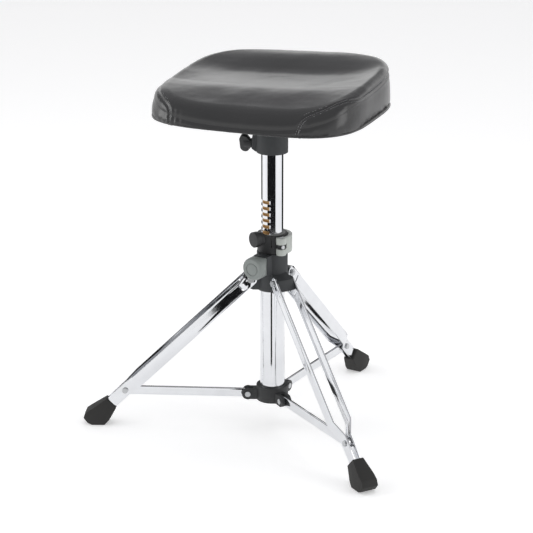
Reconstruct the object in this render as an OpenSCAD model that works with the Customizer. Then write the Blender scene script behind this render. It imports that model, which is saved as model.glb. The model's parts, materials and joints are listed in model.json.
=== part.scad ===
// Drum throne: padded seat on a notched post, clamped in a folding three-legged stand.
// Origin on the column's axis at the floor, +Z up, front of the seat towards -Y. Millimetres.

/* [Column and post] */
// Outer diameter of the base tube
tube_d = 40; // [36:0.5:46]
// Wall of the base tube
tube_wall = 2; // [1.5:0.1:2.2]
// Outer diameter of the seat post
post_d = 35; // [31:0.5:35]
// Wall of the seat post
post_wall = 2; // [1.5:0.1:3]
// Wall of the notched sleeve inside the post
sleeve_wall = 5; // [4.5:0.1:6]
// Height of the post's top end
post_top_z = 518; // [510:1:518]
// Length of the seat post
post_length = 378; // [340:1:390]
// Distance between height notches
notch_pitch = 10; // [8.5:0.1:12]
// Height of one notch
notch_h = 5.4; // [5.2:0.1:6]
// Notches above and below the index bolt
notch_steps = 6; // [4:1:6]
// Depth of the notches, from the post's outside
notch_depth = 5.3; // [4:0.1:5.6]

/* [Collar and index bolt] */
// Height of the collar's lower face
collar_z = 301; // [300.6:0.1:303]
// Height of the collar
collar_h = 29.5; // [28:0.5:34]
// Wall of the collar around the base tube
collar_wall = 4; // [3.8:0.1:5]
// Height of the index bolt's axis
index_z = 324; // [322:1:326]
// Direction of the index bolt, from the front towards the right
index_angle = -24; // [-40:1:-15]
// Diameter of the index bolt
index_d = 4.6; // [4:0.1:4.6]
// Diameter of the index knob
index_knob_d = 25; // [24.4:0.1:26]
// How far the index bolt is drawn out to free the post
index_travel = 3; // [2.6:0.1:3.2]

/* [Quick-release lever] */
// Direction of the lever's pin, from the front towards the right
lever_angle = 60; // [50:1:70]
// Distance of the lever's pin from the column's axis
lever_pin_r = 29; // [28.5:0.1:31]
// Diameter of the lever's two knuckles
knuckle_d = 16; // [14:0.5:16.4]
// Height of the lever
lever_h = 28; // [24:1:28]
// Thickness of the lever's curved arm
lever_wall = 6; // [4:0.5:8]
// Diameter of the lever's pin
lever_pin_d = 5; // [4:0.5:6]

/* [Leg hub] */
// Height of the leg hub's lower face
hub_z = 241; // [236:1:242]
// Wall of the leg hub around its bush
hub_wall = 2.8; // [2.4:0.1:4]
// Wall of the bush inside the leg hub
bush_wall = 2; // [1.5:0.1:3]
// Width of each leg lug
lug_w = 27.8; // [26:0.1:29]
// Width of the clamp block at the front
block_w = 25; // [20:1:25]
// Height of the clamp screw's axis
clamp_z = 285; // [284:1:286]
// Diameter of the clamp screw
clamp_d = 8; // [6:1:10]
// Diameter of the clamp knob's face
knob_d = 36; // [30:1:40]

/* [Legs] */
// Height of the leg pivots
pivot_z = 256; // [254:1:257]
// Distance of the leg pivots from the column's axis
pivot_r = 34; // [34:0.5:38]
// Angle of the open legs from the vertical
leg_slope = 46.3; // [42:0.1:50]
// Length of a leg from its pivot to the brace rivet
rivet_l = 286.5; // [260:0.5:300]
// Width of the leg strips
strip_w = 20; // [16:0.5:20]
// Thickness of the leg strips
strip_t = 2.2; // [1.6:0.1:3]
// Diameter of the leg pivot bolts
bolt_d = 6; // [5:0.5:8]
// Diameter of the rivets
rivet_d = 5; // [4:0.5:6]

/* [Braces and lower hub] */
// Height of the brace pins
brace_z = 55; // [53:1:57]
// Distance of the brace pins from the column's axis
brace_pin_r = 40; // [38:1:46]
// Height of a brace's section
brace_h = 14.5; // [12:0.5:16]
// Thickness of a brace
brace_t = 5; // [4:0.1:6]
// Thickness of the cheeks beside each brace
cheek_t = 5.6; // [4:0.1:7]
// Height of the lower hub
lower_hub_h = 25; // [22:1:30]

/* [Feet] */
// Width of a foot at its sole
sole_w = 27; // [24:1:34]
// Length of a foot's flat sole
sole_l = 20; // [16:1:24]
// How far the middle of a sole stands out from the rivet
sole_out = 44.87; // [42:0.01:50]
// Height of the rivet over the sole
rivet_h = 58.0622; // [50:0.0001:64]

/* [Seat] */
// Width of the seat
seat_w = 341; // [280:1:400]
// Depth of the seat
seat_l = 307; // [240:1:340]
// Radius of the seat's corners
corner_r = 95; // [60:5:110]
// Height of the seat's lower edge
seat_z = 532; // [530:1:536]
// Turn of the seat on its post, from the stand's front towards the right
seat_turn = 10; // [0:1:30]
// Height of the cushion at its rear edge
rear_h = 67; // [60:1:90]
// Height of the cushion at its front edge
front_h = 40; // [36:1:70]
// Thickness of the cover with its backing
cover_t = 2.5; // [1.5:0.1:4]
// Thickness of the seat board
board_t = 10; // [8:0.5:14]
// Thickness of the steel plate below the board
plate_t = 3; // [2:0.5:4]
// Side of the square steel plate
plate_w = 130; // [120:5:150]
// Distance between the seat's four screws
screw_gap = 70; // [64:1:76]
// Diameter of the seat's screws
screw_d = 6; // [5:0.5:7]
// Height of the seat clamp's lower face
clamp_bottom_z = 463.7; // [460:0.1:466]
// Outer diameter of the seat clamp
seat_clamp_d = 50; // [48:1:56]
// Direction of the wing screw, from the front towards the right
wing_angle = -75; // [-100:1:-60]
// Diameter of the wing screw
wing_d = 8; // [6:1:10]

/* [Hidden] */
$fn = 64;
run_gap = 0.05;
free_gap = 0.4;
eps = 0.01;

tube_r = tube_d / 2;
tube_bore_r = tube_r - tube_wall;
post_r = post_d / 2;
post_bore_r = post_r - post_wall;
post_bottom_z = post_top_z - post_length;
sleeve_r = post_bore_r - sleeve_wall;
notch_floor = post_r - notch_depth;
sleeve_end = 8;

collar_r = tube_r + collar_wall;
collar_top_z = collar_z + collar_h;
tube_top_z = collar_z + 10;
post_bush_r = tube_bore_r + 1.2;
collar_slit_angle = 28;

index_r = index_d / 2;
index_tip_r = post_r + free_gap;
index_boss_r = 10.8;
index_boss_out = collar_r + 4.6;
index_neck_r = 7;
index_neck_out = collar_r + 7;
index_cavity_r = 4.8;
index_cavity_in = post_bush_r + 1.4;
index_cavity_out = index_neck_out - 2;
index_flange_in = index_cavity_in + index_travel + 0.6;
index_flange_t = 1.5;
index_knob_in = collar_r + index_travel + 1.2;
index_knob_l = index_neck_out + index_travel + 3 - index_knob_in;
spring_wire_d = 0.6;
spring_turns = 3;

lever_z = collar_z;
knuckle_r = knuckle_d / 2;
knuckle_h = 10;
lever_in_r = collar_r + 1.8;
lever_out_r = lever_in_r + lever_wall;
lever_sweep = 138;
ear_r = knuckle_r - 2.6;

hub_bore_r = tube_r + run_gap + bush_wall;
hub_r = hub_bore_r + hub_wall - run_gap;
hub_top_z = collar_z - 1.2;
block_out = 36.5;
block_z = pivot_z + strip_w / 2 + 1;
lug_half = lug_w / 2;
lug_out = pivot_r + 14;
pad_r = 5;
pad_out = hub_bore_r + 1.5;

leg_dir = [-30, -150, 90];
strip_in = lug_half + free_gap;
strip_out = strip_in + strip_t;
tip_in = brace_t / 2 + 0.9;
tip_out = tip_in + strip_t;
bend_l = rivet_l - 34;
join_l = rivet_l - 9;
strip_end_l = rivet_l + 51;
slot_l = 22;
slot_w = 2.9;
bolt_r = bolt_d / 2;
rivet_r = rivet_d / 2;

rivet_x = pivot_r + rivet_l * sin(leg_slope);
rivet_z = pivot_z - rivet_l * cos(leg_slope);
brace_slope = atan2(rivet_z - brace_z, rivet_x - brace_pin_r);
brace_l = norm([rivet_x - brace_pin_r, rivet_z - brace_z]);
brace_slot_half = brace_t / 2 + free_gap;
lower_lug_half = brace_slot_half + cheek_t;
lower_hub_z = brace_z - 9.4;
lower_hub_r = tube_r + 6;
tube_bottom_z = lower_hub_z + 1.4;

sole_r = rivet_x + sole_out;
sole_z = rivet_z - rivet_h;
foot_l = rivet_l + 32;
foot_half_h = strip_w / 2 + 1;
foot_half_w = tip_out + 4;

board_z = seat_z + 1;
plate_z = seat_z - plate_t;
flange_t = 6;
flange_z = plate_z - flange_t;
flange_w = 92;
seat_clamp_r = seat_clamp_d / 2;
liner_r = post_r + 2;
screw_r = screw_d / 2;
tee_r = screw_r + 1.2;
wing_z = clamp_bottom_z + 11.5;
wing_r = wing_d / 2;
wing_boss_r = 9.5;
wing_boss_out = seat_clamp_r + 6;
wing_in = wing_boss_out + 1.6;

blackPlastic = "#2b2c2e";
castBlack = "#34373b";
chrome = "#d9dcde";
zinc = "#b6a26a";
steel = "#a9adb0";
leverGrey = "#b4b9b4";
knobGrey = "#979d98";
rubber = "#222222";

// ---- helpers ----

// A ring standing on z
module ring(outer, inner, z, h) {
    translate([0, 0, z]) difference() {
        cylinder(r = outer, h = h);
        translate([0, 0, -1]) cylinder(r = inner, h = h + 2);
    }
}

// Turns +X to a direction counted from the front (-Y) towards the right
module facing(angle) {
    rotate([0, 0, angle - 90]) children();
}

// A rod along +X at height z
module radial_rod(r, from, to, z) {
    translate([from, 0, z]) rotate([0, 90, 0]) cylinder(r = r, h = to - from);
}

// A rod along Y, centred, in a leg's plane
module cross_rod(r, half, x = 0, z = 0) {
    translate([x, half, z]) rotate([90, 0, 0]) cylinder(r = r, h = 2 * half);
}

// A rod along Y from one side distance to another; side is 1 or -1
module side_rod(r, from, to, side, x = 0, z = 0) {
    translate([x, side > 0 ? to : -from, z]) rotate([90, 0, 0]) cylinder(r = r, h = to - from);
}

module at_leg(i) {
    rotate([0, 0, leg_dir[i]]) children();
}

// +X runs down leg i from its pivot, +Z stands off the leg's upper edge
module along_leg(i) {
    at_leg(i) translate([pivot_r, 0, pivot_z]) rotate([0, 90 - leg_slope, 0]) children();
}

module each_leg() {
    for (i = [0:2]) at_leg(i) children();
}

// ---- seat ----

function seat_corners(r) = [
    for (sx = [-1, 1]) for (sy = [-1, 1]) [sx * (seat_w / 2 - r), sy * (seat_l / 2 - r), sy]
];

// Plain cushion body, shrunk all round by inset, from height z0 up
module cushion(inset, z0) {
    r = corner_r - inset;
    rotate([0, 0, seat_turn]) hull() for (c = seat_corners(corner_r)) {
        top = c[2] > 0 ? rear_h : front_h;
        translate([c[0], c[1], z0]) cylinder(r = r - 4, h = 1);
        translate([c[0], c[1], seat_z + 15]) cylinder(r = r, h = 6);
        translate([c[0], c[1], seat_z + 22]) cylinder(r = r - 4, h = top - 32 - inset);
        translate([c[0], c[1], seat_z + 22]) cylinder(r = r - 20, h = top - 22 - inset);
    }
}

module board_outline(inset) {
    rotate([0, 0, seat_turn]) hull() for (c = seat_corners(corner_r))
        translate([c[0], c[1]]) circle(r = corner_r - 4 - inset);
}

module at_screws() {
    rotate([0, 0, seat_turn]) for (x = [-1, 1]) for (y = [-1, 1])
        translate([x * screw_gap / 2, y * screw_gap / 2, 0]) children();
}

module seat_cover() color(blackPlastic) difference() {
    cushion(0, seat_z);
    cushion(cover_t, seat_z - 2);
}

module seat_foam() color("#d8c9a0") difference() {
    cushion(cover_t, seat_z - 2);
    translate([-seat_w, -seat_l, seat_z - 10]) cube([2 * seat_w, 2 * seat_l, 10 + 1 + board_t]);
}

module seat_board() color("#c19a6b") difference() {
    translate([0, 0, board_z]) linear_extrude(board_t) board_outline(cover_t + 0.5);
    at_screws() translate([0, 0, board_z - 1]) cylinder(r = tee_r, h = board_t + 2);
    at_screws() translate([0, 0, board_z + board_t - 1.2]) cylinder(r = 9, h = 2);
}

module base_cloth() color("#1c1c1c") difference() {
    translate([0, 0, seat_z]) linear_extrude(1) board_outline(cover_t + 3);
    at_screws() translate([0, 0, seat_z - 1]) cylinder(r = screw_r, h = 3);
}

module mount_plate() color(castBlack) difference() {
    rotate([0, 0, seat_turn]) translate([-plate_w / 2, -plate_w / 2, plate_z]) cube([plate_w, plate_w, plate_t]);
    at_screws() translate([0, 0, plate_z - 1]) cylinder(r = screw_r, h = plate_t + 2);
}

module mount_screws() color(steel) at_screws() {
    translate([0, 0, flange_z]) cylinder(r = screw_r, h = board_z + board_t - 2 - flange_z);
    translate([0, 0, flange_z - 3.5]) difference() {
        cylinder(r = screw_r + 2.2, h = 3.5);
        translate([0, 0, -1]) cylinder(r = screw_r - 0.8, h = 3, $fn = 6);
    }
}

module tee_nuts() color(zinc) at_screws() difference() {
    union() {
        translate([0, 0, board_z + 1]) cylinder(r = tee_r, h = board_t - 1);
        translate([0, 0, board_z + board_t - 1.2]) cylinder(r = 9, h = 1.2);
    }
    translate([0, 0, board_z]) cylinder(r = screw_r, h = board_t + 2);
}

module clamp_rib() {
    translate([0, 2.5, 0]) rotate([90, 0, 0]) linear_extrude(5) polygon([
        [seat_clamp_r - 2, flange_z - 28], [seat_clamp_r + 3, flange_z - 28],
        [flange_w / 2 + 8, flange_z - 3], [flange_w / 2 + 8, flange_z], [seat_clamp_r - 2, flange_z]
    ]);
}

module seat_clamp() color(castBlack) difference() {
    union() {
        translate([0, 0, clamp_bottom_z]) cylinder(r = seat_clamp_r, h = flange_z - clamp_bottom_z);
        rotate([0, 0, seat_turn]) {
            translate([-flange_w / 2, -flange_w / 2, flange_z]) cube([flange_w, flange_w, flange_t]);
            for (a = [0, 90, 180, 270]) rotate([0, 0, a]) clamp_rib();
        }
        facing(wing_angle) translate([0, wing_boss_r, 0]) rotate([90, 0, 0]) linear_extrude(2 * wing_boss_r) polygon([
            [liner_r + 1, clamp_bottom_z + 0.6], [seat_clamp_r, clamp_bottom_z + 0.6], [wing_boss_out, wing_z - 7],
            [wing_boss_out, wing_z + 9], [seat_clamp_r, flange_z - 12], [liner_r + 1, flange_z - 12]
        ]);
    }
    translate([0, 0, clamp_bottom_z - 10]) cylinder(r = liner_r, h = flange_z - clamp_bottom_z + 10);
    at_screws() translate([0, 0, flange_z - 10]) cylinder(r = screw_r, h = 30);
    facing(wing_angle) radial_rod(wing_r + run_gap, 0, wing_boss_out + 5, wing_z);
}

module clamp_liner() color(blackPlastic) difference() {
    ring(liner_r, post_r + run_gap, clamp_bottom_z + 1, post_top_z - clamp_bottom_z);
    facing(wing_angle) radial_rod(wing_r + free_gap, 0, liner_r + 5, wing_z);
}

// Two rounded lobes beside a round neck, cut flat
module wing_shape() {
    for (s = [-1, 1]) {
        translate([wing_in + 12.5, s * 7]) circle(r = 7.5);
        translate([wing_in + 4, s < 0 ? -9 : 0]) square([9, 9]);
        translate([wing_in + 12.5, s < 0 ? -7 : 0]) square([7.5, 7]);
    }
}

module wing_grip() color(blackPlastic) facing(wing_angle) difference() {
    union() {
        radial_rod(7.5, wing_in, wing_in + 13, wing_z);
        translate([0, 0, wing_z]) rotate([70, 0, 0]) linear_extrude(8, center = true) wing_shape();
    }
    radial_rod(wing_r, wing_in - 1, wing_in + 11, wing_z);
}

module wing_screw() color(steel) facing(wing_angle)
    radial_rod(wing_r, post_r + free_gap, wing_in + 11, wing_z);

// ---- post ----

// Flat-bottomed notches across the post, facing the index bolt
module notches() {
    facing(index_angle) for (k = [-notch_steps:notch_steps])
        translate([notch_floor, -post_r - 1, index_z + k * notch_pitch - notch_h / 2])
            cube([post_r, 2 * post_r + 2, notch_h]);
}

module seat_post() color(chrome) difference() {
    ring(post_r, post_bore_r, post_bottom_z, post_length);
    notches();
}

module post_sleeve() color(zinc) difference() {
    ring(post_bore_r, sleeve_r, index_z - notch_steps * notch_pitch - sleeve_end,
        2 * (notch_steps * notch_pitch + sleeve_end));
    notches();
}

module post_cap() color(blackPlastic) {
    translate([0, 0, post_top_z - 14]) cylinder(r = post_bore_r, h = 14);
    translate([0, 0, post_top_z]) cylinder(r = post_r, h = 1.5);
}

module post_guide() color(blackPlastic) {
    translate([0, 0, post_bottom_z]) cylinder(r = post_bore_r, h = 15);
    translate([0, 0, post_bottom_z - 8]) cylinder(r = tube_bore_r - run_gap, h = 8);
}

// ---- column ----

module base_tube() color(chrome)
    ring(tube_r, tube_bore_r, tube_bottom_z, tube_top_z - tube_bottom_z);

module collar() color(blackPlastic) difference() {
    union() {
        translate([0, 0, collar_z]) cylinder(r = collar_r, h = collar_h);
        facing(index_angle) {
            radial_rod(index_boss_r, tube_r + 0.5, index_boss_out, index_z);
            radial_rod(index_neck_r, collar_r - 1, index_neck_out, index_z);
        }
        facing(lever_angle) {
            translate([lever_pin_r, 0, lever_z + knuckle_h + free_gap])
                cylinder(r = ear_r, h = lever_h - 2 * knuckle_h - 2 * free_gap);
            translate([tube_r, -ear_r, lever_z + knuckle_h + free_gap])
                cube([lever_pin_r - tube_r, 2 * ear_r, lever_h - 2 * knuckle_h - 2 * free_gap]);
        }
    }
    translate([0, 0, collar_z - 1]) cylinder(r = tube_r, h = tube_top_z - collar_z + 1);
    translate([0, 0, tube_top_z - 1]) cylinder(r = post_bush_r, h = 2 * index_boss_r);
    facing(index_angle) {
        radial_rod(index_cavity_r, index_cavity_in, index_cavity_out, index_z);
        radial_rod(index_r + run_gap, 0, index_neck_out + 5, index_z);
    }
    facing(lever_angle) {
        for (z = [lever_z - 1, lever_z + lever_h - knuckle_h - free_gap])
            translate([lever_pin_r, 0, z]) cylinder(r = knuckle_r + free_gap, h = knuckle_h + free_gap + 1);
        translate([lever_pin_r, 0, lever_z - 2]) cylinder(r = lever_pin_d / 2, h = lever_h + 4);
        radial_rod(2, lever_pin_r - 2, lever_pin_r + 9, lever_z + lever_h / 2);
    }
    facing(collar_slit_angle) translate([post_r, -0.8, tube_top_z + 1]) cube([20, 1.6, collar_h]);
}

module post_bush() color("#6d716e") difference() {
    union() {
        ring(post_bush_r, post_r + run_gap, tube_top_z, collar_top_z - tube_top_z);
        ring(post_bush_r + 1.6, post_r + run_gap, collar_top_z, 1.2);
    }
    facing(index_angle) {
        radial_rod(index_r + run_gap, 0, 30, index_z);
        translate([0, -index_boss_r - 1, collar_top_z]) cube([30, 2 * index_boss_r + 2, 3]);
    }
}

// Small coil spring, drawn tight between the bolt's flange and the neck's end
module index_spring() color(steel) facing(index_angle) {
    from = index_flange_in + index_flange_t + 0.1 + spring_wire_d / 2;
    pitch = (index_cavity_out - 0.1 - spring_wire_d / 2 - from) / spring_turns;
    mean_r = (index_r + index_cavity_r) / 2;
    for (k = [0:spring_turns]) translate([from + k * pitch, 0, index_z]) rotate([0, 90, 0])
        rotate_extrude() translate([mean_r, 0]) circle(d = spring_wire_d, $fn = 16);
}

module lever_pin() color(steel) facing(lever_angle) translate([lever_pin_r, 0, lever_z - 0.6]) difference() {
    cylinder(r = lever_pin_d / 2, h = lever_h + 1.4);
    translate([0, 0, knuckle_h + 0.6 + free_gap]) radial_rod(2, -2, 9, (lever_h - 2 * knuckle_h) / 2 - free_gap);
}

module clamp_bolt() color(steel) facing(lever_angle) {
    radial_rod(2, lever_pin_r - 2, lever_pin_r + ear_r, lever_z + lever_h / 2);
    radial_rod(3, lever_pin_r + ear_r, lever_pin_r + ear_r + 1.6, lever_z + lever_h / 2);
}

module lower_hub() color(blackPlastic) difference() {
    union() {
        translate([0, 0, lower_hub_z]) cylinder(r = lower_hub_r, h = lower_hub_h);
        each_leg() {
            cross_rod(9.4, lower_lug_half, brace_pin_r, brace_z);
            translate([tube_r, -lower_lug_half, brace_z - 8.8])
                cube([brace_pin_r - tube_r, 2 * lower_lug_half, 17.6]);
        }
    }
    translate([0, 0, lower_hub_z - 1]) cylinder(r = tube_r, h = lower_hub_h + 2);
    each_leg() {
        translate([brace_pin_r - brace_h / 2 - 1, -brace_slot_half, lower_hub_z - 1])
            cube([30, 2 * brace_slot_half, lower_hub_h + 2]);
        cross_rod(rivet_r, lower_lug_half + 1, brace_pin_r, brace_z);
    }
}

module tube_cap() color(blackPlastic) {
    translate([0, 0, lower_hub_z]) cylinder(r = tube_r - 0.1, h = tube_bottom_z - lower_hub_z);
    translate([0, 0, tube_bottom_z]) cylinder(r = tube_bore_r, h = 15);
}

module brace_pins() color(steel) each_leg() {
    cross_rod(rivet_r, lower_lug_half, brace_pin_r, brace_z);
    for (s = [-1, 1]) side_rod(rivet_r + 2, lower_lug_half, lower_lug_half + 1.5, s, brace_pin_r, brace_z);
}

// ---- quick-release lever and index bolt ----

module release_lever() color(leverGrey) facing(lever_angle) difference() {
    union() {
        translate([lever_pin_r, 0, lever_z]) cylinder(r = knuckle_r, h = lever_h);
        translate([0, 0, lever_z + 0.6]) rotate([0, 0, 4]) rotate_extrude(angle = lever_sweep - 2, $fn = 96)
            translate([lever_in_r, 0]) square([lever_wall, lever_h - 1.2]);
        rotate([0, 0, 2 + lever_sweep]) translate([lever_in_r + lever_wall / 2, 0, lever_z])
            cylinder(r = lever_wall / 2 + 0.5, h = lever_h);
    }
    translate([lever_pin_r, 0, lever_z + knuckle_h])
        cylinder(r = knuckle_r + 1.2, h = lever_h - 2 * knuckle_h);
    translate([lever_pin_r, 0, lever_z - 1]) cylinder(r = lever_pin_d / 2 + run_gap, h = lever_h + 2);
    translate([0, 0, lever_z - 1]) cylinder(r = collar_r + free_gap, h = lever_h + 2);
}

module index_bolt() color(steel) facing(index_angle) {
    radial_rod(index_r, index_tip_r, index_knob_in + index_knob_l - 1, index_z);
    difference() {
        radial_rod(index_cavity_r - free_gap, index_flange_in, index_flange_in + index_flange_t, index_z);
        radial_rod(index_r - eps, 0, 60, index_z);
    }
}

module index_knob() color(blackPlastic) facing(index_angle) difference() {
    radial_rod(index_knob_d / 2, index_knob_in, index_knob_in + index_knob_l, index_z);
    radial_rod(index_neck_r + free_gap, index_knob_in - 1, index_neck_out + index_travel + free_gap, index_z);
    radial_rod(index_boss_r + free_gap, index_knob_in - 1, index_boss_out + index_travel + free_gap, index_z);
    radial_rod(index_r, index_knob_in, index_knob_in + index_knob_l - 1, index_z);
}

// ---- leg hub ----

module leg_lug() {
    translate([0, lug_half, 0]) rotate([90, 0, 0]) linear_extrude(lug_w) polygon([
        [tube_r - 2, hub_z - 3], [pivot_r - 3, hub_z - 3], [lug_out, hub_z + 5],
        [lug_out - 3, pivot_z + 7], [tube_r - 2, pivot_z + 12]
    ]);
}

module leg_hub() color(castBlack) difference() {
    union() {
        translate([0, 0, hub_z - 4]) cylinder(r = hub_r, h = hub_top_z - hub_z + 4);
        each_leg() leg_lug();
        translate([-block_w / 2, -block_out, block_z]) cube([block_w, block_out, hub_top_z - block_z]);
    }
    translate([0, 0, hub_z - 10]) cylinder(r = hub_bore_r, h = hub_top_z - hub_z + 20);
    each_leg() cross_rod(bolt_r, lug_half + 1, pivot_r, pivot_z);
    facing(0) {
        radial_rod(clamp_d / 2 + run_gap, 0, block_out + 1, clamp_z);
        radial_rod(pad_r, 0, pad_out, clamp_z);
    }
}

module hub_bush() color(blackPlastic) difference() {
    ring(hub_bore_r, tube_r + run_gap, hub_z - 3, hub_top_z - hub_z + 2);
    facing(0) radial_rod(pad_r, 0, hub_bore_r + 1, clamp_z);
}

module clamp_pad() color(zinc) difference() {
    facing(0) radial_rod(pad_r, tube_r - 2, pad_out, clamp_z);
    translate([0, 0, clamp_z - pad_r - 1]) cylinder(r = tube_r + run_gap, h = 2 * pad_r + 2);
}

module leg_bolts() color(steel) each_leg() {
    side_rod(bolt_r, -strip_out - 4, strip_out + free_gap, 1, pivot_r, pivot_z);
    side_rod(bolt_r + 2.4, strip_out + free_gap, strip_out + free_gap + 2.6, 1, pivot_r, pivot_z);
}

module leg_nuts() color(steel) each_leg() difference() {
    side_rod(bolt_r + 2.4, strip_out + free_gap, strip_out + 3.6, -1, pivot_r, pivot_z, $fn = 6);
    side_rod(bolt_r, 0, strip_out + 6, -1, pivot_r, pivot_z);
}

// ---- clamp knob ----

// Square foot that grows into a round face with a shallow ring on it
module clamp_knob() color(knobGrey) facing(0) translate([0, 0, clamp_z]) difference() {
    hull() {
        translate([block_out + 1, -12.5, -14]) cube([3, 25, 28]);
        translate([block_out + 14, 0, 0]) rotate([0, 90, 0]) cylinder(r = knob_d / 2 + 0.6, h = 8, $fn = 32);
        translate([block_out + 20, 0, 0]) rotate([0, 90, 0]) cylinder(r = knob_d / 2 - 2, h = 5.5, $fn = 32);
    }
    radial_rod(clamp_d / 2, block_out, block_out + 16, 0);
    difference() {
        radial_rod(10.5, block_out + 24.5, block_out + 27, 0);
        radial_rod(9, block_out + 24, block_out + 28, 0);
    }
}

module clamp_screw() color(steel) facing(0)
    radial_rod(clamp_d / 2, pad_out + free_gap, block_out + 16, clamp_z);

// ---- legs ----

// side 1 is the strip on the leg's counter-clockwise side, -1 the other
module leg_strip(i, side) color(chrome) along_leg(i) difference() {
    intersection() {
        linear_extrude(strip_w, center = true) polygon([
            [-strip_w, side * strip_in], [bend_l, side * strip_in], [join_l, side * tip_in],
            [strip_end_l, side * tip_in], [strip_end_l, side * tip_out], [join_l, side * tip_out],
            [bend_l, side * strip_out], [-strip_w, side * strip_out]
        ]);
        union() {
            cross_rod(strip_w / 2, strip_out + 1);
            translate([0, -strip_out - 1, -strip_w / 2]) cube([strip_end_l, 2 * strip_out + 2, strip_w]);
        }
    }
    cross_rod(bolt_r + run_gap, strip_out + 1);
    cross_rod(rivet_r, strip_out + 1, rivet_l);
    translate([slot_l, 0, 0]) {
        cube([slot_w, 2 * strip_out + 2, strip_w - 10], center = true);
        for (s = [-1, 1]) cross_rod(slot_w / 2, strip_out + 1, 0, s * (strip_w / 2 - 5));
    }
}

module leg_rivet(i) color(steel) along_leg(i) for (s = [-1, 1]) {
    side_rod(rivet_r, tip_in, tip_out, s, rivet_l);
    side_rod(rivet_r + 2.2, tip_out, tip_out + 1.6, s, rivet_l);
}

// Side outline of a foot: along the leg at the top, flat on the floor at the sole
module foot_profile() {
    start = [pivot_r + foot_l * sin(leg_slope), pivot_z - foot_l * cos(leg_slope)];
    off = foot_half_h * [cos(leg_slope), sin(leg_slope)];
    translate([sole_r, sole_z]) polygon([
        start - [sole_r, sole_z] + off, [20, 21], [24, 12], [17, 3],
        [sole_l / 2, 0], [-sole_l / 2, 0], [-18, 8], start - [sole_r, sole_z] - off
    ]);
}

// Rubber boot round the strips' ends, widening towards its sole
module leg_foot(i) color(rubber) difference() {
    intersection() {
        at_leg(i) rotate([90, 0, 0]) linear_extrude(2 * sole_w, center = true) foot_profile();
        along_leg(i) linear_extrude(4 * sole_w, center = true) polygon([
            [foot_l - 20, -foot_half_w], [foot_l, -foot_half_w], [foot_l + 30, -sole_w / 2],
            [foot_l + 90, -sole_w / 2], [foot_l + 90, sole_w / 2], [foot_l + 30, sole_w / 2],
            [foot_l, foot_half_w], [foot_l - 20, foot_half_w]
        ]);
    }
    along_leg(i) for (s = [-1, 1]) translate([foot_l - 5, s > 0 ? tip_in : -tip_out, -strip_w / 2])
        cube([strip_end_l - foot_l + 5, strip_t, strip_w]);
}

// ---- braces ----

module brace(i) color(chrome) at_leg(i) translate([brace_pin_r, 0, brace_z]) rotate([0, -brace_slope, 0])
    difference() {
        union() {
            cross_rod(brace_h / 2, brace_t / 2);
            cross_rod(brace_h / 2, brace_t / 2, brace_l);
            translate([0, -brace_t / 2, -brace_h / 2]) cube([brace_l, brace_t, brace_h]);
        }
        cross_rod(rivet_r + run_gap, brace_t);
        cross_rod(rivet_r + 0.3, brace_t, brace_l);
    }

seat_cover();
seat_foam();
seat_board();
base_cloth();
mount_plate();
mount_screws();
tee_nuts();
seat_clamp();
clamp_liner();
wing_grip();
wing_screw();
seat_post();
post_sleeve();
post_cap();
post_guide();
base_tube();
collar();
post_bush();
index_spring();
lever_pin();
clamp_bolt();
lower_hub();
tube_cap();
brace_pins();
release_lever();
index_knob();
index_bolt();
leg_hub();
hub_bush();
clamp_pad();
leg_bolts();
leg_nuts();
clamp_knob();
clamp_screw();
leg_strip(0, -1);  // leg_1_left_strip
leg_strip(0, 1);  // leg_1_right_strip
leg_rivet(0);  // leg_1_rivet
leg_foot(0);  // leg_1_foot
leg_strip(1, -1);  // leg_2_left_strip
leg_strip(1, 1);  // leg_2_right_strip
leg_rivet(1);  // leg_2_rivet
leg_foot(1);  // leg_2_foot
leg_strip(2, -1);  // leg_3_left_strip
leg_strip(2, 1);  // leg_3_right_strip
leg_rivet(2);  // leg_3_rivet
leg_foot(2);  // leg_3_foot
brace(0);  // brace_1
brace(1);  // brace_2
brace(2);  // brace_3
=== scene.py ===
import bpy
import bmesh
import json
import math
import random
from mathutils import Matrix, Vector, noise
from mathutils.bvhtree import BVHTree
from mathutils.kdtree import KDTree


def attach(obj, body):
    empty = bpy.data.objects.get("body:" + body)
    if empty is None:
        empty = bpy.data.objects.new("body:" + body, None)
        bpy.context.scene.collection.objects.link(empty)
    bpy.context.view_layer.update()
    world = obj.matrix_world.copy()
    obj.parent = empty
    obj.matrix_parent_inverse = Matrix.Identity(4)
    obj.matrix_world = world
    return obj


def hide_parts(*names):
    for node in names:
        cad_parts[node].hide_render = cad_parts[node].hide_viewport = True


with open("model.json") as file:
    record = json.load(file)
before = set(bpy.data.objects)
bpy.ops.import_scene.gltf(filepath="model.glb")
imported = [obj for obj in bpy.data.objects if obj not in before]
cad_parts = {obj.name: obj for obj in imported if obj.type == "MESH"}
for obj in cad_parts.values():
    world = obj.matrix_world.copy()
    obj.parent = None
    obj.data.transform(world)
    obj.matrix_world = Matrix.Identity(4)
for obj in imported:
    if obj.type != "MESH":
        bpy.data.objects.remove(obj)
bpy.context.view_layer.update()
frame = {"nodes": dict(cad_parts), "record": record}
nodes = frame["nodes"]
random.seed(7)
print("frame loaded,", len(nodes), "nodes")


# a node socket that can be used in a sum, so shader maths reads as plain expressions
class Wire:
    def __init__(self, tree, socket):
        self.tree, self.socket = tree, socket

    def maths(self, operation, first, second):
        node = self.tree.nodes.new("ShaderNodeMath")
        node.operation = operation
        plug(self.tree, node.inputs[0], first)
        plug(self.tree, node.inputs[1], second)
        return Wire(self.tree, node.outputs[0])

    def __add__(self, other):
        return self.maths("ADD", self, other)

    def __sub__(self, other):
        return self.maths("SUBTRACT", self, other)

    def __rsub__(self, other):
        return self.maths("SUBTRACT", other, self)

    def __mul__(self, other):
        return self.maths("MULTIPLY", self, other)

    __radd__ = __add__
    __rmul__ = __mul__


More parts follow.
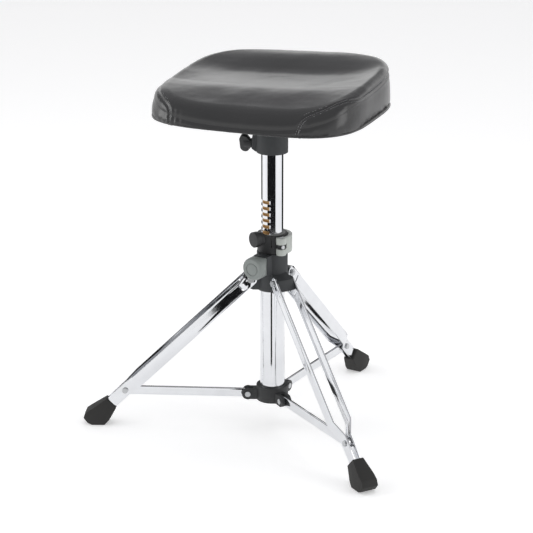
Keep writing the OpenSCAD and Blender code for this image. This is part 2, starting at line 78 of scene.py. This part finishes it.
def plug(tree, socket, value):
    if isinstance(value, Wire):
        tree.links.new(value.socket, socket)
    elif isinstance(value, (tuple, list)) and len(value) == 3 and socket.type == "RGBA":
        socket.default_value = (*value, 1)
    else:
        socket.default_value = value


# one material: plain values go on the shader's own sockets, what varies is wired in
class Finish:
    def __init__(self, name, tree=None, **values):
        if tree is None:
            self.material = bpy.data.materials.new(name)
            self.material.use_nodes = True
            tree = self.material.node_tree
            self.shader = tree.nodes["Principled BSDF"]
        self.tree = tree
        for key, value in values.items():
            plug(tree, self.shader.inputs[key.replace("_", " ")], value)

    def node(self, kind, settings=(), inputs=(), output=0):
        node = self.tree.nodes.new(kind)
        for key, value in dict(settings).items():
            if key == "stops":
                for k, (place, colour) in enumerate(value):
                    stop = node.color_ramp.elements[k] if k < 2 else node.color_ramp.elements.new(place)
                    stop.position, stop.color = place, (*colour, 1)
            else:
                setattr(node, key, value)
        for key, value in dict(inputs).items():
            plug(self.tree, node.inputs[key], value)
        return Wire(self.tree, node.outputs[output])

    def place(self, stretch=(1, 1, 1)):
        spot = self.node("ShaderNodeTexCoord", output="Object")
        return self.node("ShaderNodeMapping", {}, {"Vector": spot, "Scale": stretch})

    def noise(self, scale, detail=2, roughness=0.5, vector=None):
        return self.node("ShaderNodeTexNoise", {}, {
            "Vector": vector or self.place(), "Scale": scale, "Detail": detail, "Roughness": roughness})

    def cells(self, scale, feature="F1"):
        return self.node("ShaderNodeTexVoronoi", {"feature": feature}, {
            "Vector": self.place(), "Scale": scale})

    def bands(self, direction, scale, distortion=0.0):
        return self.node("ShaderNodeTexWave", {"bands_direction": direction}, {
            "Vector": self.place(), "Scale": scale, "Distortion": distortion})

    def mix(self, factor, low, high):
        return self.node("ShaderNodeMix", {"data_type": "RGBA"}, {0: factor, 6: low, 7: high}, 2)

    def bump(self, height, strength, distance, under=None):
        inputs = {"Height": height, "Strength": strength, "Distance": distance}
        if under:
            inputs["Normal"] = under
        return self.node("ShaderNodeBump", {}, inputs)

    def feed(self, **wires):
        for key, value in wires.items():
            plug(self.tree, self.shader.inputs[key.replace("_", " ")], value)
        return self.material


# metals: a polished or plated face with faint smears and a little waviness
polish = {"patch": 38, "scratch": 240, "drawn": (1, 1, 0.06), "wave": 90, "bump": 0.25, "depth": 0.0004}


def metal(name, light, dark, gloss, smear, wave=0.0, grain=0.0):
    finish = Finish(name, Metallic=1.0)
    patch = finish.noise(polish["patch"], detail=4)
    scratch = finish.noise(polish["scratch"], detail=3, vector=finish.place(polish["drawn"]))
    height = finish.noise(polish["wave"], detail=1) * wave + scratch * grain
    return finish.feed(
        Base_Color=finish.mix(patch, dark, light),
        Roughness=patch * smear + scratch * (smear * 0.5) + gloss,
        Normal=finish.bump(height, polish["bump"], polish["depth"]))


# moulded plastic, powder coat and rubber: fine mould texture, slightly worn tone
mould = {"patch": 26, "patchShare": 0.7, "speckGloss": 0.1, "level": 0.42, "depth": 0.0003}


def moulded(name, tone, lighter, rough, speckScale, grain, smear=0.12):
    finish = Finish(name, Specular_IOR_Level=mould["level"])
    patch = finish.noise(mould["patch"], detail=4)
    speck = finish.noise(speckScale)
    share = mould["patchShare"]
    return finish.feed(
        Base_Color=finish.mix(patch * share + speck * (1 - share), tone, lighter),
        Roughness=patch * smear + speck * mould["speckGloss"] + (rough - smear * 0.5),
        Normal=finish.bump(speck, grain, mould["depth"]))


# smooth black leather: a fine pebbled grain with soft creases
leather = {"pebble": 620, "fine": 1500, "patch": 9, "crease": 60, "level": 0.58, "rough": 0.2,
           "pebbleBump": 0.16, "pebbleDepth": 0.0004, "creaseBump": 0.05, "creaseDepth": 0.0015}


def leatherFinish(name, tone, lighter):
    finish = Finish(name, Specular_IOR_Level=leather["level"])
    pebble = finish.cells(leather["pebble"], "SMOOTH_F1")
    fine = finish.noise(leather["fine"])
    patch = finish.noise(leather["patch"], detail=3)
    crease = finish.noise(leather["crease"], detail=3, roughness=0.6)
    grain = finish.bump(pebble * 0.7 + fine * 0.3, leather["pebbleBump"], leather["pebbleDepth"])
    return finish.feed(
        Base_Color=finish.mix(patch * 0.75 + crease * 0.25, tone, lighter),
        Roughness=patch * 0.06 + pebble * 0.04 + leather["rough"],
        Normal=finish.bump(crease, leather["creaseBump"], leather["creaseDepth"], grain))


# plywood: layers at the edge, a long figure on the face
plywood = {"layers": 130, "layerShare": 0.45, "figure": 30, "along": (1, 9, 1), "glue": (0.3, 0.17, 0.08),
           "dark": (0.42, 0.26, 0.13), "light": (0.66, 0.48, 0.28)}


def plywoodFinish(name):
    finish = Finish(name, Roughness=0.6)
    layer = finish.bands("Z", plywood["layers"], 0.4)
    figure = finish.noise(plywood["figure"], detail=6, roughness=0.6, vector=finish.place(plywood["along"]))
    tone = finish.mix(figure, plywood["dark"], plywood["light"])
    return finish.feed(Base_Color=finish.mix(layer * plywood["layerShare"], tone, plywood["glue"]),
                       Normal=finish.bump(figure, 0.2, 0.0004))


# open-cell foam with painted shade in its pores: the colour darkens towards the middle of each pore, where
# the bump sinks
foamLook = {"pores": 900, "hollow": (0.5, 0.42, 0.26), "face": (0.85, 0.76, 0.52)}


def foamFinish(name):
    finish = Finish(name, Roughness=0.95)
    pore = finish.cells(foamLook["pores"])
    # hollow is the painted shade deep in a pore, face is the foam's own colour
    return finish.feed(Base_Color=finish.mix(pore, foamLook["hollow"], foamLook["face"]),
                       Normal=finish.bump(pore, 0.5, 0.0006))


weaveScale = 260    # threads across the cloth under the board


def wovenFinish(name, tone, lighter):
    finish = Finish(name, Roughness=0.9, Specular_IOR_Level=0.2)
    weave = finish.bands("X", weaveScale) * finish.bands("Y", weaveScale)
    return finish.feed(Base_Color=finish.mix(weave, tone, lighter), Normal=finish.bump(weave, 0.5, 0.0005))


finishes = {
    "chrome": metal("chrome", light=(0.79, 0.8, 0.82), dark=(0.68, 0.69, 0.71), gloss=0.035, smear=0.06,
                    wave=0.3),
    "steel": metal("zincPlate", light=(0.62, 0.63, 0.64), dark=(0.44, 0.45, 0.46), gloss=0.26, smear=0.2,
                   wave=0.2, grain=0.4),
    "yellow_zinc": metal("yellowZinc", light=(0.5, 0.33, 0.15), dark=(0.3, 0.18, 0.08), gloss=0.36, smear=0.2,
                         wave=0.3, grain=0.4),
    "cast_black": moulded("castBlack", (0.03, 0.033, 0.035), (0.046, 0.049, 0.052), 0.56, 1500, 0.22),
    "black_plastic": moulded("blackPlastic", (0.022, 0.023, 0.024), (0.034, 0.035, 0.036), 0.52, 1900, 0.16),
    "bush_grey": moulded("bushGrey", (0.12, 0.125, 0.12), (0.17, 0.175, 0.17), 0.45, 1900, 0.12),
    "lever_grey": moulded("leverGrey", (0.40, 0.425, 0.40), (0.47, 0.495, 0.465), 0.38, 2100, 0.08),
    "knob_grey": moulded("knobGrey", (0.21, 0.23, 0.222), (0.25, 0.272, 0.262), 0.42, 2100, 0.1),
    "rubber": moulded("rubber", (0.017, 0.017, 0.016), (0.032, 0.031, 0.03), 0.68, 1300, 0.35, smear=0.2),
    "leather": leatherFinish("leather", (0.018, 0.018, 0.0185), (0.027, 0.027, 0.028)),
    "foam": foamFinish("foam"),
    "plywood": plywoodFinish("plywood"),
    "base_cloth": wovenFinish("baseCloth", (0.006, 0.006, 0.006), (0.03, 0.03, 0.03)),
}
stitchFinish = moulded("stitchThread", (0.16, 0.16, 0.165), (0.26, 0.26, 0.27), 0.75, 2600, 0.4)
slotOf = {part["node"]: part["material_slot"] for part in frame["record"]["subparts"]}
for name, thing in nodes.items():
    thing.data.materials.clear()
    thing.data.materials.append(finishes[slotOf[name]])
print("finishes on", len(nodes), "nodes")


# camera at eye level in front and to the right of the stool
view = {"target": (0, 0, 0.3), "azimuth": 31.3, "elevation": 18.15, "distance": 3.1465,
        "lens": 132.81, "sensor": 36, "shift": (-0.0109, -0.0304), "near": 0.05, "far": 60}


def makeCamera():
    turn, rise = math.radians(view["azimuth"]), math.radians(view["elevation"])
    back = Vector((math.sin(turn) * math.cos(rise), -math.cos(turn) * math.cos(rise), math.sin(rise)))
    data = bpy.data.cameras.new("camera")
    data.lens, data.sensor_width = view["lens"], view["sensor"]
    data.shift_x, data.shift_y = view["shift"]
    data.clip_start, data.clip_end = view["near"], view["far"]
    camera = bpy.data.objects.new("camera", data)
    camera.location = Vector(view["target"]) + back * view["distance"]
    camera.rotation_mode = "QUATERNION"
    camera.rotation_quaternion = (-back).to_track_quat("-Z", "Y")
    bpy.context.scene.collection.objects.link(camera)
    bpy.context.scene.camera = camera


# white paper floor that glows a little
floorPaper = {"size": 30.0, "drop": 0.0005, "glow": 0.31, "fleck": 300,
              "low": (0.9, 0.9, 0.9), "high": (0.93, 0.93, 0.93)}


def makeFloor():
    mesh = bmesh.new()
    bmesh.ops.create_grid(mesh, x_segments=1, y_segments=1, size=floorPaper["size"])
    data = bpy.data.meshes.new("floor")
    mesh.to_mesh(data)
    mesh.free()
    floor = bpy.data.objects.new("floor", data)
    floor.location = (0, 0, -floorPaper["drop"])
    bpy.context.scene.collection.objects.link(floor)
    paper = Finish("paper", Roughness=0.9, Specular_IOR_Level=0.1, Emission_Color=(1, 1, 1),
                   Emission_Strength=floorPaper["glow"])
    fleck = paper.noise(floorPaper["fleck"])
    data.materials.append(paper.feed(Base_Color=paper.mix(fleck, floorPaper["low"], floorPaper["high"])))


# dark cards that only reflections see, as a studio hangs round polished tube: each is an arc about
# the column, from and to in degrees from the camera's side
cards = {"frontCard": {"from": -52, "to": 34, "reach": 0.72, "foot": 0.095, "top": 0.36},
         "backCard": {"from": 118, "to": 236, "reach": 0.72, "foot": 0.095, "top": 0.36},
         "lineCard": {"from": -15, "to": -1, "reach": 0.3, "foot": 0, "top": 0.2}}
cardSteps = 24


def makeCards():
    black = Finish("cardBlack", Base_Color=(0.01, 0.01, 0.011), Roughness=1.0, Specular_IOR_Level=0.0)
    for name, card in cards.items():
        mesh = bmesh.new()
        ring = []
        for k in range(cardSteps + 1):
            turn = math.radians(view["azimuth"] + card["from"] + (card["to"] - card["from"]) * k / cardSteps)
            east, south = math.sin(turn) * card["reach"], math.cos(turn) * card["reach"]
            ring.append(mesh.verts.new((east, -south, card["foot"])))
        edges = [mesh.edges.new(pair) for pair in zip(ring, ring[1:])]
        raised = bmesh.ops.extrude_edge_only(mesh, edges=edges)["geom"]
        bmesh.ops.translate(mesh, verts=[v for v in raised if isinstance(v, bmesh.types.BMVert)],
                            vec=(0, 0, card["top"] - card["foot"]))
        data = bpy.data.meshes.new(name)
        mesh.to_mesh(data)
        mesh.free()
        data.materials.append(black.material)
        sheet = bpy.data.objects.new(name, data)
        bpy.context.scene.collection.objects.link(sheet)
        sheet.visible_camera = sheet.visible_diffuse = sheet.visible_shadow = False


# two skies, each a ramp from straight down to straight up: the bright one hangs behind the stool, and
# edge is how quickly one gives way to the other
skyLook = {"strength": 1.05, "edge": 1.6,
           "plain": [(0.0, (0.95, 0.95, 0.95)), (0.62, (0.95, 0.95, 0.95)), (0.74, (0.45, 0.45, 0.46)),
                     (1.0, (0.5, 0.5, 0.51))],
           "bright": [(0.0, (0.9, 0.9, 0.9)), (0.5, (0.95, 0.95, 0.95)), (0.56, (1.4, 1.4, 1.4)),
                      (0.675, (1.4, 1.4, 1.4)), (0.72, (0.42, 0.42, 0.43)), (1.0, (0.5, 0.5, 0.51))]}


def makeSky():
    world = bpy.data.worlds.new("studio")
    bpy.context.scene.world = world
    world.use_nodes = True
    sky = Finish("sky", world.node_tree)
    ray = sky.node("ShaderNodeTexCoord", output="Generated")
    east, north, height = (sky.node("ShaderNodeSeparateXYZ", {}, {0: ray}, k) for k in (0, 1, 2))
    plain, bright = (sky.node("ShaderNodeValToRGB", {"stops": skyLook[kind]}, {0: height * 0.5 + 0.5})
                     for kind in ("plain", "bright"))
    turn = math.radians(view["azimuth"])
    behind = sky.node("ShaderNodeMath", {"operation": "MULTIPLY", "use_clamp": True},
                      {0: north * math.cos(turn) - east * math.sin(turn), 1: skyLook["edge"]})
    back = world.node_tree.nodes["Background"]
    plug(world.node_tree, back.inputs["Color"], sky.mix(behind, plain, bright))
    back.inputs["Strength"].default_value = skyLook["strength"]


# the top light isn't seen in reflections, so that the roll of the leather stays dark
lights = {
    "topSoftbox": {"spot": (0.2, 0.2, 2.6), "aim": (0, 0, 0.3), "size": (2.4, 2.4),
                   "power": 14, "seen": False},
    "leftSoftbox": {"spot": (-2.2, -1.2, 1.5), "aim": (0, 0, 0.35), "size": (1.2, 1.8),
                    "power": 16, "seen": True},
    "rightSoftbox": {"spot": (2.4, 0.4, 1.3), "aim": (0, 0, 0.35), "size": (1.0, 1.8),
                     "power": 10, "seen": True}}


def makeLights():
    for name, lamp in lights.items():
        data = bpy.data.lights.new(name, "AREA")
        data.shape, data.size, data.size_y = "RECTANGLE", *lamp["size"]
        data.energy = lamp["power"]
        light = bpy.data.objects.new(name, data)
        light.location = lamp["spot"]
        light.rotation_mode = "QUATERNION"
        light.rotation_quaternion = (Vector(lamp["aim"]) - Vector(lamp["spot"])).to_track_quat("-Z", "Y")
        light.visible_glossy = lamp["seen"]
        bpy.context.scene.collection.objects.link(light)


makeCamera()
bpy.context.scene.view_settings.view_transform = "Standard"
makeFloor()
makeCards()
makeSky()
makeLights()
print("camera and studio set")


def makePiece(name, mesh, finish, body):
    data = bpy.data.meshes.new(name)
    mesh.to_mesh(data)
    mesh.free()
    data.materials.append(finish)
    thing = bpy.data.objects.new(name, data)
    bpy.context.scene.collection.objects.link(thing)
    for face in data.polygons:
        face.use_smooth = True
    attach(thing, body)
    return thing


def bodyOf(node):
    return next(name for name, members in frame["record"]["behaviour"]["bodies"].items() if node in members)


# bevel widths of the hard parts; merge and flat clean the copy first, and edges over sharpest are
# rounded. flat, sharpest and shade are in degrees
rounding = {"casting": 0.0009, "knob": 0.0008, "wing": 0.0016, "strip": 0.0005, "brace": 0.0007,
            "foot": 0.0028, "merge": 2e-6, "flat": 0.6, "sharpest": 32, "shade": 31}


# a copy of a hard part with its sharp edges rounded, so that they catch the light
def soften(node, width, segments=2):
    mesh = bmesh.new()
    mesh.from_mesh(nodes[node].data)
    bmesh.ops.remove_doubles(mesh, verts=mesh.verts, dist=rounding["merge"])
    flat, limit = math.radians(rounding["flat"]), math.radians(rounding["sharpest"])
    bmesh.ops.dissolve_limit(mesh, angle_limit=flat, verts=mesh.verts, edges=mesh.edges)
    edges = [e for e in mesh.edges if len(e.link_faces) == 2 and e.calc_face_angle(0) > limit]
    bmesh.ops.bevel(mesh, geom=edges, offset=width, offset_type="OFFSET", affect="EDGES", segments=segments,
                    profile=0.5, material=-1, clamp_overlap=True, loop_slide=True, harden_normals=False)
    bmesh.ops.triangulate(mesh, faces=[f for f in mesh.faces if len(f.verts) > 4])
    thing = makePiece(node + ".soft", mesh, finishes[slotOf[node]], bodyOf(node))
    thing.data.set_sharp_from_angle(angle=math.radians(rounding["shade"]))
    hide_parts(node)


for casting in ("leg_hub", "collar", "lower_hub"):
    soften(casting, rounding["casting"])
for knob in ("release_lever", "index_knob", "clamp_knob"):
    soften(knob, rounding["knob"], segments=3)
soften("wing_grip", rounding["wing"], segments=3)
for leg in (1, 2, 3):
    for side in ("left", "right"):
        soften(f"leg_{leg}_{side}_strip", rounding["strip"])
    soften(f"brace_{leg}", rounding["brace"])
    soften(f"leg_{leg}_foot", rounding["foot"], segments=3)
print("hard edges softened")

# seat: a dished saddle, its top panel runs down over the front and a side panel goes round the rest.
# centreLine and sideLine give the top's height from front to rear, at the middle and near each side;
# a roll is how far the edge rounds in and down; settle lowers the top on the left and raises it on
# the right, as in used foam, but not at the front edge
seat = {"halfWidth": 0.1702, "halfDepth": 0.1533, "squareness": 3.75, "base": 0.5312, "turn": 10,
        "centreLine": [(-0.154, 0.5605), (-0.13, 0.5645), (-0.11, 0.5679), (-0.09, 0.5718), (-0.075, 0.5744),
                       (-0.06, 0.5765), (-0.045, 0.5777), (-0.025, 0.5775), (0.0, 0.5768), (0.03, 0.5767),
                       (0.052, 0.5776), (0.068, 0.5808), (0.084, 0.5865), (0.102, 0.5925), (0.12, 0.5962),
                       (0.137, 0.5972), (0.154, 0.5965)],
        "sideLine": [(-0.154, 0.5685), (-0.11, 0.576), (-0.075, 0.5795), (-0.04, 0.5818), (0.0, 0.584),
                     (0.04, 0.586), (0.075, 0.590), (0.11, 0.5955), (0.135, 0.5982), (0.154, 0.5982)],
        "sideAt": 0.15, "sideRise": 3, "sideMost": 1.15,
        "across": 186, "along": 168, "rollRows": 30, "wallRows": 26,
        "frontRoll": (0.031, 0.0235), "sideRoll": (0.014, 0.0125), "frontSpread": 1.6,
        "lean": 0.003, "leanCurve": 1.6, "hollow": 0.0012, "foot": 0.0015, "footFrom": 0.8,
        "settle": 0.006, "settleFrom": -0.15, "settleOver": 0.12,
        "uneven": 0.0007, "unevenScale": 22, "ripple": 0.0001, "rippleScale": 75,
        "hemIn": 0.006, "flangeIn": 0.022, "flangeZ": 0.5327}


def alongLine(points, at):
    if at <= points[0][0]:
        return points[0][1]
    for k in range(len(points) - 1):
        (x0, y0), (x1, y1) = points[k], points[k + 1]
        if at <= x1:
            before = points[max(k - 1, 0)]
            after = points[min(k + 2, len(points) - 1)]
            slope0 = (y1 - before[1]) / (x1 - before[0])
            slope1 = (after[1] - y0) / (after[0] - x0)
            t, span = (at - x0) / (x1 - x0), x1 - x0
            return ((2 * t**3 - 3 * t**2 + 1) * y0 + (t**3 - 2 * t**2 + t) * span * slope0
                    + (3 * t**2 - 2 * t**3) * y1 + (t**3 - t**2) * span * slope1)
    return points[-1][1]


def seatTop(x, y):
    middle, side = alongLine(seat["centreLine"], y), alongLine(seat["sideLine"], y)
    height = middle + (side - middle) * min(seat["sideMost"], (abs(x) / seat["sideAt"]) ** seat["sideRise"])
    share = min(1, max(0, (y - seat["settleFrom"]) / seat["settleOver"]))    # none at the front edge
    return height + seat["settle"] * share * x / seat["sideAt"]


def seatEdge(turn, inset):
    a, b, n = seat["halfWidth"] - inset, seat["halfDepth"] - inset, seat["squareness"]
    reach = (abs(math.cos(turn) / a) ** n + abs(math.sin(turn) / b) ** n) ** (-1 / n)
    return Vector((math.cos(turn) * reach, math.sin(turn) * reach))


def seatRoll(turn):
    front = max(0, -math.sin(turn)) ** seat["frontSpread"]
    return [side + (face - side) * front for side, face in zip(seat["sideRoll"], seat["frontRoll"])]


# a point of the skin: p and q run over the flat grid, row counts on over the roll and down the wall
def seatPoint(p, q, row, shrink=0.0):
    share = max(abs(p), abs(q))
    turn = math.atan2(q * seat["halfDepth"], p * seat["halfWidth"]) if share > 1e-9 else 0.0
    rollIn, rollDown = seatRoll(turn)
    rollIn += seat["lean"] + shrink
    if row == 0:
        flat = seatEdge(turn, rollIn) * share
        return Vector((flat.x, flat.y, seatTop(flat.x, flat.y) - shrink))
    if row <= seat["rollRows"]:
        lean = math.radians(90 - 90 * row / seat["rollRows"])
        inset = seat["lean"] + shrink
        flat = seatEdge(turn, inset + (rollIn - inset) * (1 - math.cos(lean)))
        return Vector((flat.x, flat.y, seatTop(flat.x, flat.y) - shrink - rollDown * (1 - math.sin(lean))))
    down = (row - seat["rollRows"]) / seat["wallRows"]
    rim = seatEdge(turn, seat["lean"] + shrink)
    start = seatTop(rim.x, rim.y) - shrink - rollDown
    height = start + (seat["base"] + shrink - start) * down
    inset = seat["lean"] * (1 - down) ** seat["leanCurve"] - seat["hollow"] * math.sin(math.pi * down)
    tuck = seat["foot"] * max(0, (down - seat["footFrom"]) / (1 - seat["footFrom"])) ** 2
    flat = seatEdge(turn, inset + tuck + shrink)
    return Vector((flat.x, flat.y, height))


def seatShell(across, along, edgeRows, shrink=0.0):
    mesh = bmesh.new()
    bmesh.ops.create_grid(mesh, x_segments=across, y_segments=along, size=1)
    rows = {v: 0 for v in mesh.verts}
    rim = [e for e in mesh.edges if e.is_boundary]
    step = (seat["rollRows"] + seat["wallRows"]) / edgeRows
    for k in range(edgeRows):
        made = bmesh.ops.extrude_edge_only(mesh, edges=rim)["geom"]
        for v in made:
            if isinstance(v, bmesh.types.BMVert):
                rows[v] = (k + 1) * step
        rim = [e for e in made if isinstance(e, bmesh.types.BMEdge) and e.is_boundary]
    for v in mesh.verts:
        v.co = seatPoint(v.co.x, v.co.y, rows[v], shrink)
    return mesh, rim


# the skin turns in under the board, as a hem and then a flange, and one face closes the rest
def closeBelow(mesh, rim, lift=0.0):
    for inset, height in ((seat["hemIn"], seat["base"] + lift), (seat["flangeIn"], seat["flangeZ"] + lift)):
        made = bmesh.ops.extrude_edge_only(mesh, edges=rim)["geom"]
        for v in made:
            if isinstance(v, bmesh.types.BMVert):
                flat = Vector((v.co.x, v.co.y))
                flat *= 1 - inset / flat.length
                v.co = (flat.x, flat.y, height)
        rim = [e for e in made if isinstance(e, bmesh.types.BMEdge) and e.is_boundary]
    bmesh.ops.edgenet_fill(mesh, edges=rim)
    bmesh.ops.recalc_face_normals(mesh, faces=mesh.faces)


def turnSeat(mesh):
    bmesh.ops.rotate(mesh, verts=mesh.verts, matrix=Matrix.Rotation(math.radians(seat["turn"]), 3, "Z"))


# the seam between the top panel and the side panel, one half of it; the other half mirrors it
seam = {"half": [(0.104, -0.1465, 0.5315), (0.106, -0.146, 0.548), (0.111, -0.143, 0.562),
                 (0.121, -0.135, 0.5705), (0.136, -0.117, 0.5745), (0.154, -0.090, 0.5755),
                 (0.166, -0.052, 0.5765), (0.1695, 0.0, 0.5785), (0.169, 0.045, 0.582),
                 (0.165, 0.085, 0.585), (0.155, 0.118, 0.5865), (0.135, 0.140, 0.587),
                 (0.10, 0.150, 0.587), (0.055, 0.1532, 0.587), (0.0, 0.1533, 0.587)],
        "askew": 0.008, "askewFrom": 0.05, "askewOver": 0.09, "step": 0.001,
        "groove": 0.0013, "spread": 0.0018, "puff": 0.0005, "puffAt": 0.0052, "puffSpread": 0.003}


# a smooth curve through the points, cut into even steps; its own pieces are finer than a step
def smoothPath(points, step):
    path = []
    count = len(points)
    for k in range(count - 1):
        p0, p1, p2, p3 = (Vector(points[min(max(k + d, 0), count - 1)]) for d in (-1, 0, 1, 2))
        pieces = max(2, round((p2 - p1).length / (step / 4)))
        for j in range(pieces):
            t = j / pieces
            path.append(0.5 * (2 * p1 + (p2 - p0) * t + (2 * p0 - 5 * p1 + 4 * p2 - p3) * t * t
                               + (3 * p1 - p0 - 3 * p2 + p3) * t ** 3))
    path.append(Vector(points[-1]))
    even, left = [path[0]], step
    for first, second in zip(path, path[1:]):
        span = (second - first).length
        while span >= left > 0:
            first = first.lerp(second, left / span)
            even.append(first)
            span, left = (second - first).length, step
        left -= span
    return even


# the whole seam; its two front ends sit a little to one side
def bothSides(points):
    return [(x - seam["askew"] * min(1, max(0, -y - seam["askewFrom"]) / seam["askewOver"]), y, z)
            for x, y, z in points + [(-x, y, z) for x, y, z in reversed(points[:-1])]]


# gathers where the skin is pulled under the board: folds at the corners, creases all round,
# and a few more where each end of the seam is tucked in
gather = {"top": 0.04, "fade": 0.012, "fold": 0.00014, "folds": 90, "cornerFrom": 1.35, "cornerOver": 0.3,
          "crease": 0.0005, "creaseScale": 90, "seamEnd": (0.108, -0.146), "endFade": 0.022,
          "endFold": 0.0004, "endFolds": 620}


def atCorner(point):
    out = abs(point.x) / seat["halfWidth"] + abs(point.y) / seat["halfDepth"]
    return min(1.0, max(0.0, (out - gather["cornerFrom"]) / gather["cornerOver"]))


# how far the skin stands out from its plain shape at a point, away being the distance to the seam
def skinPush(point, away):
    push = -seam["groove"] * math.exp(-(away / seam["spread"]) ** 2)
    push += seam["puff"] * math.exp(-((away - seam["puffAt"]) / seam["puffSpread"]) ** 2)
    push += seat["uneven"] * noise.noise(point * seat["unevenScale"])
    push += seat["ripple"] * noise.noise(point * seat["rippleScale"])
    above = point.z - seat["base"]
    if above < gather["top"]:
        folds = gather["fold"] * atCorner(point) * math.sin(math.atan2(point.y, point.x) * gather["folds"])
        creases = gather["crease"] * noise.noise(point * gather["creaseScale"])
        push += math.exp(-(above / gather["fade"]) ** 2) * (folds + creases)
        endX, endY = gather["seamEnd"]
        seamEnd = Vector((math.copysign(endX, point.x), endY, seat["base"]))
        near = math.exp(-((point - seamEnd).length / gather["endFade"]) ** 2)
        push += gather["endFold"] * near * math.sin(away * gather["endFolds"])
    return push


# a tree for finding the nearest point, with the faces in the same order on every run, because where
# two faces are equally near the first one counts
def searchTree(mesh):
    order = Vector((1, 17.3, 291.7))
    mesh.faces.sort(key=lambda face: face.calc_center_median().dot(order))
    return BVHTree.FromBMesh(mesh)


# returns the finished skin, before the seat's turn, for the stitches to lie on
def makeCover():
    mesh, rim = seatShell(seat["across"], seat["along"], seat["rollRows"] + seat["wallRows"])
    mesh.normal_update()
    plain = searchTree(mesh)
    seamLine = [plain.find_nearest(p)[0] for p in smoothPath(bothSides(seam["half"]), seam["step"])]
    nearSeam = KDTree(len(seamLine))
    for k, p in enumerate(seamLine):
        nearSeam.insert(p, k)
    nearSeam.balance()
    shift = {v: v.normal * skinPush(v.co, nearSeam.find(v.co)[2]) for v in mesh.verts}
    for v, move in shift.items():
        v.co += move
    closeBelow(mesh, rim)
    finished = searchTree(mesh)
    turnSeat(mesh)
    seatCover = makePiece("seatCover", mesh, finishes["leather"], "seat")
    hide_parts("seat_cover")
    return finished


# foam inside the cover: lift raises its underside, inside is how far it stays within the skin
foam = {"across": 40, "along": 34, "edgeRows": 10, "inside": 0.004, "lift": 0.011}


def makeFoam():
    mesh, rim = seatShell(foam["across"], foam["along"], foam["edgeRows"], foam["inside"])
    closeBelow(mesh, rim, foam["lift"])
    turnSeat(mesh)
    seatFoam = makePiece("seatFoam", mesh, finishes["foam"], "seat")
    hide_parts("seat_foam")


# two rows of top stitching, one each side of the seam; clear is how far above the hem they stop
stitch = {"rowGap": 0.0027, "pitch": 0.0037, "long": 0.0026, "thread": 0.00042, "flat": 0.8, "clear": 0.003}


def makeStitches(skin):
    mesh = bmesh.new()
    line = smoothPath(bothSides(seam["half"]), stitch["pitch"])
    size = Matrix.Diagonal((stitch["long"] / 2, stitch["thread"], stitch["thread"] * stitch["flat"], 1))
    for before, after in zip(line, line[1:]):
        middle, normal = skin.find_nearest((before + after) / 2)[:2]
        along = (after - before).normalized()
        side = normal.cross(along).normalized()
        for row in (-1, 1):
            spot, up = skin.find_nearest(middle + side * stitch["rowGap"] * row)[:2]
            if spot.z < seat["base"] + stitch["clear"]:
                continue
            ahead = (along - up * along.dot(up)).normalized()
            lie = Matrix((ahead, up.cross(ahead), up)).transposed().to_4x4()
            placed = Matrix.Translation(spot) @ lie @ size
            bmesh.ops.create_icosphere(mesh, subdivisions=1, radius=1, matrix=placed)
    turnSeat(mesh)
    makePiece("topStitch", mesh, stitchFinish, "seat")


aheadTurn = 0.01    # a little further round the seat's edge, to find which way it runs

# rolled hem round the foot of the cover
hem = {"radius": 0.0019, "rise": 0.0017, "steps": 220, "sides": 10, "inset": 0.0007,
       "wobble": 0.12, "wobbleScale": 90}


def makeHem():
    mesh = bmesh.new()
    rings = []
    for k in range(hem["steps"]):
        turn = 2 * math.pi * k / hem["steps"]
        flat, ahead = seatEdge(turn, hem["inset"]), seatEdge(turn + aheadTurn, hem["inset"])
        aim = Vector((ahead.x - flat.x, ahead.y - flat.y, 0)).to_track_quat("Z", "Y").to_matrix().to_4x4()
        wobble = hem["wobble"] * noise.noise(Vector((flat.x, flat.y, 0)) * hem["wobbleScale"])
        radius = hem["radius"] * (1 + wobble)
        spot = Matrix.Translation((flat.x, flat.y, seat["base"] + hem["rise"]))
        ring = bmesh.ops.create_circle(mesh, segments=hem["sides"], radius=radius, matrix=spot @ aim)["verts"]
        rings.append(list({e for v in ring for e in v.link_edges}))
    for first, second in zip(rings, rings[1:] + rings[:1]):
        bmesh.ops.bridge_loops(mesh, edges=first + second)
    bmesh.ops.recalc_face_normals(mesh, faces=mesh.faces)
    turnSeat(mesh)
    makePiece("seatHem", mesh, finishes["leather"], "seat")


# staples that hold the cloth under the board, each a little askew
staple = {"count": 84, "inset": 0.0148, "wide": 0.0095, "deep": 0.0012, "wire": 0.0006, "z": 0.5319,
          "askew": 0.16, "round": 0.4}


def makeStaples():
    mesh = bmesh.new()
    size = Matrix.Diagonal((staple["wide"], staple["deep"], staple["wire"], 1))
    for k in range(staple["count"]):
        turn = 2 * math.pi * (k + 0.5) / staple["count"]
        flat, ahead = seatEdge(turn, staple["inset"]), seatEdge(turn + aheadTurn, staple["inset"])
        tilt = math.atan2(ahead.y - flat.y, ahead.x - flat.x)
        tilt += random.uniform(-staple["askew"], staple["askew"])
        spot = Matrix.Translation((flat.x, flat.y, staple["z"])) @ Matrix.Rotation(tilt, 4, "Z")
        made = bmesh.ops.create_cube(mesh, size=1, matrix=spot @ size)["verts"]
        edges = list({e for v in made for e in v.link_edges})
        bmesh.ops.bevel(mesh, geom=edges, offset=staple["wire"] * staple["round"], offset_type="OFFSET",
                        affect="EDGES", segments=1, profile=0.5, material=-1, clamp_overlap=True)
    turnSeat(mesh)
    makePiece("clothStaples", mesh, finishes["steel"], "seat")


coverSkin = makeCover()
makeFoam()
print("seat made")
makeStitches(coverSkin)
makeHem()
makeStaples()
print("seam, stitching, hem and staples made")
